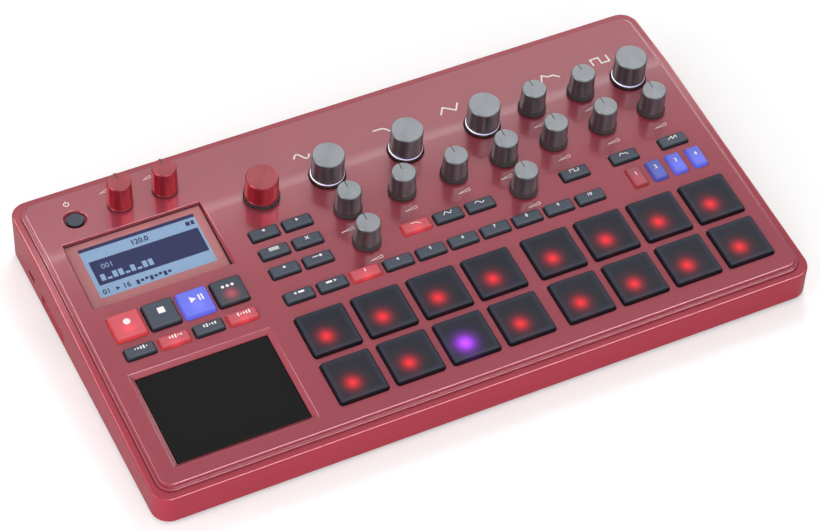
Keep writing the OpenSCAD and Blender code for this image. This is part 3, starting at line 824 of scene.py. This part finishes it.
class DRUM_OT_keys(Step):
    """Soft keys, lit where the machine lights them, with their marks"""
    bl_idname = "drum.keys"
    bl_label = "Keys"

    # Levels of the key tops over the panel, and how far behind a key's centre its mark stands
    top = 1.8
    transport_top = 2.1
    up = 1.0
    transport_up = 1.4

    def make(self, scene):
        lights = scene.drum_lights
        dark = (0, 0, 0)
        red, blue = tuple(lights.red), tuple(lights.blue)
        soft_red = darker(red, 0.8)
        groups = {
            "mode_keys": (MODE_AT, [soft_red if i == 2 else dark for i in range(10)]),
            "menu_keys": (MENU_AT, [dark] * 6),
            "filter_keys": (FILTER_AT, [soft_red, dark, dark]),
            "section_keys": (SECTION_AT, [dark] * 3),
            "bank_keys": (BANK_AT, [darker(red, 0.45), darker(blue, 0.55), blue, blue]),
            "touch_keys": (TOUCH_KEY_AT, [dark, soft_red, dark, soft_red]),
            "record_key": (TRANSPORT_AT[:1], [red]),
            "stop_key": (TRANSPORT_AT[1:2], [dark]),
            "play_key": (TRANSPORT_AT[2:3], [darker(blue, 1.3)]),
            "tap_key": (TRANSPORT_AT[3:], [(*darker(red, 1.5), 0.0)]),
        }
        for node, (centres, colours) in groups.items():
            piece = softened(node, scene.drum_edges.key)
            map_faces(piece, centres)
            light_up(piece, centres, colours)
            settle(piece, node, "key_rubber", node)
        button = softened("power_button", scene.drum_edges.key)
        settle(button, "power_button", "key_rubber", "power_button")
        self.mark_strips()
        self.mark_transport()

    def mark_strips(self):
        """Numbers and plain signs on the upper half of each small key."""
        row = MODE_ROW + self.up
        parts = [digits(str(i + 1), x, row, 1.9) for i, (x, y) in enumerate(MODE_AT) if i > 1]
        for (x, y), side in zip(MODE_AT, (-1, 1)):
            parts += [arrow(x + 1.6 * side, row, 0.9, 90 - 90 * side)]
            parts += [bar(x - 1.4 * side, row, 3, 1.1)]
        self.mark("mode_marks", parts, "mode_keys")
        shift, select, left, write, leave, right = [(x, y + self.up) for x, y in MENU_AT]
        parts = [arrow(*left, 1.0, 180), arrow(*right, 1.0, 0)]
        parts += [bar(select[0], select[1] + y, 5, 0.4) for y in (-0.7, 0, 0.7)]
        parts += [stroke([(leave[0] - 0.8, leave[1] + y), (leave[0] + 0.8, leave[1] - y)], 0.4)
                  for y in (-0.8, 0.8)]
        parts += [arrow(*shift, 1.0, 90), disc(write[0] + 1.6, write[1], 0.7)]
        parts += [bar(write[0] - 1, write[1], 3, 0.4)]
        self.mark("menu_marks", parts, "menu_keys")
        for group, forms, centres in (("filter", ("slope", "triangle", "sine"), FILTER_AT),
                                      ("section", ("square", "decay", "saw"), SECTION_AT)):
            parts = [wave(form, x, y + self.up, 4.6, 1.6, 0.36)
                     for form, (x, y) in zip(forms, centres)]
            self.mark(group + "_marks", parts, group + "_keys")
        parts = [digits(str(i + 1), x, y + 1.2, 2.2, 0.03) for i, (x, y) in enumerate(BANK_AT)]
        self.mark("bank_marks", parts, "bank_keys")
        parts = [bar(x - 2 + 1.4 * j, y + self.up, 0.7, 0.6 + 0.5 * ((j + i) % 4))
                 for i, (x, y) in enumerate(TOUCH_KEY_AT) for j in range(5)]
        self.mark("touch_key_marks", parts, "touch_keys")

    def mark_transport(self):
        """Signs for record, stop, play and tap."""
        record, stop, play, tap = [(x, y + self.transport_up) for x, y in TRANSPORT_AT]
        signs = {
            "record": lambda: [disc(record[0] + 0.4, record[1], 1.7)],
            "stop": lambda: [bar(stop[0] + 0.4, stop[1], 3.4, 3.4)],
            "play": lambda: [arrow(play[0] - 1.2, play[1], 2.1, 0),
                             bar(play[0] + 2.4, play[1], 0.8, 3.6),
                             bar(play[0] + 3.9, play[1], 0.8, 3.6)],
            "tap": lambda: [disc(tap[0] - 2.4 + 2.4 * i, tap[1] + 1.2, 0.8) for i in range(3)],
        }
        for name, draw in signs.items():
            self.mark(name + "_mark", draw(), name + "_key", self.transport_top)

    def mark(self, name, parts, body, level=top):
        printed_piece(name, parts, ON_PANEL, level, body)


class DRUM_OT_knobs(Step):
    """Dark pointer inlays in the grooves of the knobs"""
    bl_idname = "drum.knobs"
    bl_label = "Knob pointers"

    def make(self, scene):
        width, length, height = 0.66, 4.3, 0.3
        sink = 0.16
        reach = 6.1
        bpy.ops.mesh.primitive_cube_add(size=MM)
        inlay = bpy.context.object
        inlay.data.transform(Matrix.Diagonal((width, length, height, 1)))
        finish_modifier(inlay, "BEVEL", width=0.08 * MM, segments=2)
        for knob in SMALL_KNOBS + RED_KNOBS:
            piece = bpy.data.objects.new(knob + "_pointer", inlay.data.copy())
            scene.collection.objects.link(piece)
            small = knob in SMALL_KNOBS
            turn = TURN if small else Matrix.Identity(4)
            top = SMALL_KNOB_TOP if small else RED_KNOB_TOP
            shift = Matrix.Translation((0, (reach - length / 2) * MM, (top - sink) * MM))
            piece.data.transform(Matrix.Translation(joint(knob)["pos_m"]) @ turn @ shift)
            give(piece, "pointer_ink")
            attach(piece, knob)
        bpy.data.objects.remove(inlay)


class DRUM_OT_rings(Step):
    """Light rings round the large knobs"""
    bl_idname = "drum.rings"
    bl_label = "Light rings"

    def make(self, scene):
        piece = softened("light_rings", 0.25 * MM)
        at = [PANEL_POINT @ Vector(joint(knob)["pos_m"]) / MM for knob in LARGE_KNOBS]
        map_faces(piece, [tuple(place[:2]) for place in at])
        settle(piece, CHASSIS, "ring_light", "light_rings")


class DRUM_OT_display(Step):
    """The picture under the window: bezel, lit ground, inverted band, numbers and bars"""
    bl_idname = "drum.display"
    bl_label = "Display"

    def make(self, scene):
        low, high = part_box("display_window")
        span = high - low
        tilt = math.asin((span.z - WINDOW_THICKNESS) / span.y)
        under = Matrix.Translation((0, 0, -(WINDOW_THICKNESS / 2 + WINDOW_GAP)))
        centre = Matrix.Translation(middle("display_window"))
        self.place = centre @ Matrix.Rotation(tilt, 4, "X") @ under
        self.show("bezel", [self.frame_shape(68.8, 38.9, 58.9, 30.2, 0.4, 1.0)], "bezel",
                  0.12, 0.05)
        self.show("ground", [bar(0.4, 1.0, 60, 31.2)], "screen_ground", 0.05, 0.03)
        # The band, the top line, the tempo, two cells, the part's numbers and a line of steps
        ink = [bar(0.9, 0.3, 55.5, 14.5), bar(0.4, 15.1, 58.9, 1.9)]
        ink += [digits("120.0", 0.2, 10.7, 2.9, 0.03)]
        ink += [bar(25.2, 11.3, 2.0, 2.4), bar(27.6, 11.3, 1.6, 2.4)]
        ink += [digits("01", -25.0, -11.2, 2.9), arrow(-19.6, -11.2, 1.3, 0)]
        ink += [digits("16", -15.0, -11.2, 2.9)]
        ink += [bar(-9.5 + 2.3 * i, -11.6 + 0.35 * (i % 3), 1.5, 1.4 if i % 3 else 2.6)
                for i in range(8)]
        self.show("ink", ink, "screen_ink", 0.13, 0.02)
        # In the band: a number and a row of high and low bars
        light = [digits("001", -19.2, 3.0, 3.0, 0.0)]
        for i in range(9):
            lift, tall = (0.6, 1.2) if i in (1, 4, 6) else (1.9, 3.8)
            light += [bar(-23.6 + 3.0 * i, -4.9 + lift, 2.2, tall)]
        self.show("figures", light, "screen_ground", 0.18, 0.02)

    def show(self, name, parts, slot, level, thick):
        printed_piece("display_" + name, parts, self.place, level, CHASSIS, slot, thick)

    def frame_shape(self, w, d, hole_w, hole_d, x, y):
        """A flat frame of four bars round an opening whose centre is at x, y."""
        side_x, side_y = (w - hole_w) / 2, (d - hole_d) / 2
        parts = [bar(-(w - side_x - x) / 2, 0, side_x + x, d)]
        parts += [bar((w - side_x + x) / 2, 0, side_x - x, d)]
        parts += [bar(x, -(d - side_y - y) / 2, hole_w, side_y + y)]
        parts += [bar(x, (d - side_y + y) / 2, hole_w, side_y - y)]
        return joined(parts)


class DRUM_OT_touch_pad(Step):
    """Matt touch surface with softened edges"""
    bl_idname = "drum.touch_pad"
    bl_label = "Touch pad"

    def make(self, scene):
        settle(softened("touch_pad", 0.3 * MM), CHASSIS, "touch_black", "touch_pad")


class DRUM_OT_legends(Step):
    """White prints on the panel: wave signs over the sections, wedges under the knobs"""
    bl_idname = "drum.legends"
    bl_label = "Panel legends"

    # Wave signs, their places and widths in the rear frame, and what all of them share
    waves = (("sine", 32.5, 8), ("slope", 75.5, 8), ("triangle", 112.5, 11),
             ("decay", 168.0, 10), ("square", 197.0, 9))
    wave_row = 130.5
    wave_height = 4.2
    wave_line = 0.8
    # Centres of the wedges: those of the rear knobs, then those of the knobs on the slope
    rear_wedges = ((-64.0, 148.0), (-41.5, 148.0))
    wedges = ((33.5, 80.1), (67.0, 80.1), (95.5, 80.1), (118.5, 80.1), (150.2, 80.1),
              (177.5, 80.1), (204.0, 80.1), (39.0, 59.2), (123.0, 59.2), (148.5, 103.5),
              (177.0, 103.5))

    def make(self, scene):
        rear_parts = [wave(form, x, self.wave_row, w, self.wave_height, self.wave_line)
                      for form, x, w in self.waves]
        rear_parts += self.power_sign(-83.0, 147.2, 1.25)
        rear_parts += [ramp(x, y, 4.0, 1.6) for x, y in self.rear_wedges]
        printed_piece("rear_legends", rear_parts, ON_REAR, 0.0, CHASSIS)
        parts = [ramp(x, y, 6.5, 1.5) for x, y in self.wedges]
        printed_piece("panel_legends", parts, ON_PANEL, 0.0, CHASSIS)

    def power_sign(self, x, y, r):
        """An open circle with a bar in its gap."""
        turns = [math.radians(a) for a in range(125, 416, 15)]
        circle = stroke([(x + r * math.cos(a), y + r * math.sin(a)) for a in turns], 0.4)
        return [circle, bar(x, y + 1.2, 0.4, 1.6)]


class DRUM_OT_stage(Step):
    """Pale floor, soft lamps and the camera"""
    bl_idname = "drum.stage"
    bl_label = "Stage"

    # Strips over the rear that the bend reflects: lower and upper angle, and brightness
    strips = (("strip_upper", 54.2, 56.9, 5.5), ("strip_lower", 51.2, 54.2, 3.5),
              ("strip_base", 43.0, 51.2, 1.3))
    # Cards that only reflections see: place, width, depth and brightness
    cards = (("card_left", (-1.5, -0.1, 0.7), 0.9, 0.9, 3.5),
             ("card_front", (0.6, -0.77, 2.08), 2.6, 0.75, 19.0),
             ("card_rear_left", (-0.7, 0.92, 1.04), 0.55, 0.55, 12.0),
             ("card_rear_right", (1.5, 1.2, 0.5), 0.8, 0.5, 10.0))

    def make(self, scene):
        studio = scene.drum_studio
        scene.view_settings.view_transform = "Standard"
        self.floor()
        self.world(scene, studio.world, studio.mirror)
        aim = Vector((0, 0, 0.02))
        # Lamps that light the object and that no reflection shows: place, width, depth, power
        for name, place, w, d, power in (
                ("key_lamp", (0.62, 1.02, 1.35), 0.5, 0.5, studio.key),
                ("front_lamp", (-0.55, -1.7, 0.45), 1.4, 0.6, studio.front),
                ("left_lamp", (-1.7, -0.2, 0.45), 1.2, 0.6, studio.front * 0.85)):
            self.lamp(name, Vector(place), aim, w, d, power, mirrored=False)
        for name, low, high, level in self.strips:
            self.strip(name, low, high, level * studio.cards)
        for name, place, w, d, level in self.cards:
            power = math.pi * w * d * level * studio.cards
            self.lamp(name, Vector(place), aim, w, d, power, mirrored=True)
        self.camera(scene, studio)

    def camera(self, scene, studio):
        data = bpy.data.cameras.new("camera")
        data.lens = studio.lens
        data.sensor_width = 36.0
        data.clip_start = 0.05
        camera = bpy.data.objects.new("camera", data)
        camera.location = studio.place
        camera.rotation_euler = studio.turn
        scene.collection.objects.link(camera)
        scene.camera = camera

    def floor(self):
        """Pale paper that keeps the shadow and turns white with the distance."""
        pick(frame["nodes"]["feet"])
        bpy.ops.mesh.primitive_plane_add(size=8.0)
        floor = bpy.context.object
        floor.name = "floor"
        paper = Finish("floor_paper", Roughness=0.85, Specular_IOR_Level=0.1,
                       Emission_Strength=1.0)
        tooth = paper.noise(300.0, 2.0)
        # Darker in reflections, so that the walls keep their red
        mirrored = paper.node("ShaderNodeLightPath", output="Is Glossy Ray")
        white = paper.mix(tooth, (0.90, 0.90, 0.90), (0.93, 0.93, 0.93))
        paper.feed("Base Color", paper.mix(mirrored, white, (0.38, 0.38, 0.38)))
        seen = paper.node("ShaderNodeLightPath", output="Is Camera Ray")
        away = paper.node("ShaderNodeVectorMath", {"operation": "LENGTH"},
                          [paper.coordinates()], "Value")
        far = paper.clamped("MULTIPLY", away - 0.4, 0.6)
        paper.feed("Emission Color", paper.scaled((1, 1, 1), seen * (far * 0.25 + 0.2)))
        floor.data.materials.append(paper.material)

    def world(self, scene, strength, mirror):
        """A white background for the camera, darker in reflections and on the object."""
        world = bpy.data.worlds.new("studio")
        world.use_nodes = True
        tree = world.node_tree
        ground = tree.nodes["Background"]
        ground.inputs["Color"].default_value = (1, 1, 1, 1)
        paths = tree.nodes.new("ShaderNodeLightPath")
        seen = tree.nodes.new("ShaderNodeMapRange")
        reflected = tree.nodes.new("ShaderNodeMapRange")
        for ranged, ray, level in ((reflected, "Is Glossy Ray", mirror),
                                   (seen, "Is Camera Ray", 1.0)):
            tree.links.new(paths.outputs[ray], ranged.inputs["Value"])
            ranged.inputs["To Max"].default_value = level
        reflected.inputs["To Min"].default_value = strength
        tree.links.new(reflected.outputs["Result"], seen.inputs["To Min"])
        tree.links.new(seen.outputs["Result"], ground.inputs["Strength"])
        scene.world = world

    def lamp(self, name, place, aim, w, d, power, mirrored):
        """An area lamp that either only lights the object or only shows in reflections."""
        data = bpy.data.lights.new(name, "AREA")
        data.shape = "RECTANGLE"
        data.size = w
        data.size_y = d
        data.energy = power
        lamp = bpy.data.objects.new(name, data)
        lamp.location = place
        lamp.rotation_mode = "QUATERNION"
        lamp.rotation_quaternion = (aim - place).to_track_quat("-Z", "Y")
        lamp.visible_glossy = mirrored
        lamp.visible_diffuse = not mirrored
        bpy.context.scene.collection.objects.link(lamp)

    def strip(self, name, low, high, level):
        """A long card along X between two angles over the horizon, seen from the bend."""
        reach, width = 1.3, 2.4
        bend = Vector((-0.1, 0.0518, REAR_Z))
        angle = math.radians((low + high) / 2)
        depth = reach * math.radians(high - low)
        place = bend + Vector((0, reach * math.cos(angle), reach * math.sin(angle)))
        self.lamp(name, place, bend, width, depth, math.pi * width * depth * level, mirrored=True)


class DRUM_PT_panel(bpy.types.Panel):
    """Lists the settings and the steps"""
    bl_idname = "DRUM_PT_panel"
    bl_label = "Drum Machine"
    bl_space_type = "VIEW_3D"
    bl_region_type = "UI"
    bl_category = "Drum Machine"

    def draw(self, context):
        for group in GROUPS:
            box = self.layout.box()
            settings = getattr(context.scene, group)
            for key in settings.bl_rna.properties.keys():
                if key not in ("rna_type", "name"):
                    box.prop(settings, key)
        for step in STEPS:
            self.layout.operator(step.bl_idname)


GROUPS = {"drum_colours": DrumColours, "drum_lights": DrumLights, "drum_edges": DrumEdges,
          "drum_studio": DrumStudio}
STEPS = (DRUM_OT_finishes, DRUM_OT_case, DRUM_OT_panel, DRUM_OT_pads, DRUM_OT_keys,
         DRUM_OT_knobs, DRUM_OT_rings, DRUM_OT_display, DRUM_OT_touch_pad, DRUM_OT_legends,
         DRUM_OT_stage)
CLASSES = (*GROUPS.values(), *STEPS, DRUM_PT_panel)


def register():
    for made in CLASSES:
        bpy.utils.register_class(made)
    for name, group in GROUPS.items():
        setattr(bpy.types.Scene, name, bpy.props.PointerProperty(type=group))


def unregister():
    for name in GROUPS:
        delattr(bpy.types.Scene, name)
    for made in reversed(CLASSES):
        bpy.utils.unregister_class(made)


def main():
    register()
    for step in STEPS:
        getattr(bpy.ops.drum, step.bl_idname.split(".")[1])()


if __name__ == "__main__":
    main()
